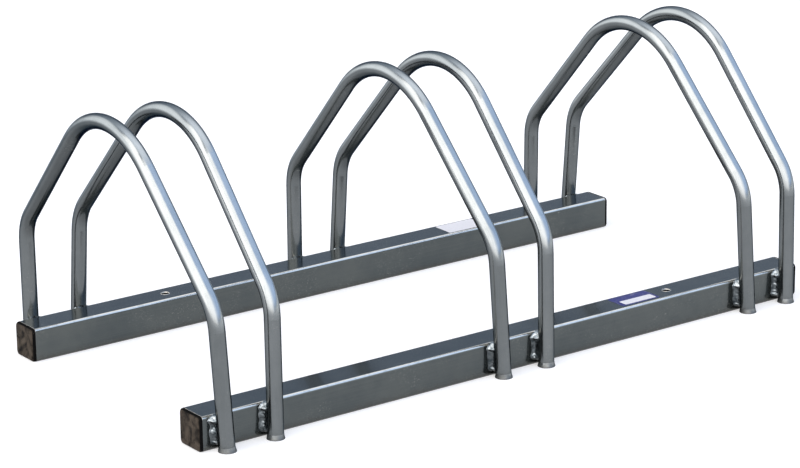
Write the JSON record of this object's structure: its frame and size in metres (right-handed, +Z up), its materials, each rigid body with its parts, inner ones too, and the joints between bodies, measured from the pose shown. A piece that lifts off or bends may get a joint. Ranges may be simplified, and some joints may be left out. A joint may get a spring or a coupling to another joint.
{
  "type": "floor bike rack",
  "caption": "Floor bike rack: pairs of bent tube hoops welded to a front and a rear square rail, zinc plated, with black plastic end caps",
  "frame": {"origin": "on the floor, under the middle of the rack in length and depth", "axes": "+X along the rails to the right, +Y from the front rail to the rear rail, +Z up"},
  "size_m": [0.752, 0.3846, 0.2849],
  "materials": {
    "rail_steel": "bright zinc plate",
    "hoop_steel": "bright zinc plate",
    "weld_bead": "zinc plated weld bead",
    "cap_plastic": "black moulded plastic"
  },
  "bodies": {
    "root": {"front_rail": "rail_steel", "rear_rail": "rail_steel", "bay_1_left_hoop": "hoop_steel", "bay_1_right_hoop": "hoop_steel", "bay_2_left_hoop": "hoop_steel", "bay_2_right_hoop": "hoop_steel", "bay_3_left_hoop": "hoop_steel", "bay_3_right_hoop": "hoop_steel", "front_left_cap": "cap_plastic", "front_right_cap": "cap_plastic", "rear_left_cap": "cap_plastic", "rear_right_cap": "cap_plastic", "bay_1_left_front_weld": "weld_bead", "bay_1_left_rear_weld": "weld_bead", "bay_1_right_front_weld": "weld_bead", "bay_1_right_rear_weld": "weld_bead", "bay_2_left_front_weld": "weld_bead", "bay_2_left_rear_weld": "weld_bead", "bay_2_right_front_weld": "weld_bead", "bay_2_right_rear_weld": "weld_bead", "bay_3_left_front_weld": "weld_bead", "bay_3_left_rear_weld": "weld_bead", "bay_3_right_front_weld": "weld_bead", "bay_3_right_rear_weld": "weld_bead"}
  },
  "joints": []
}
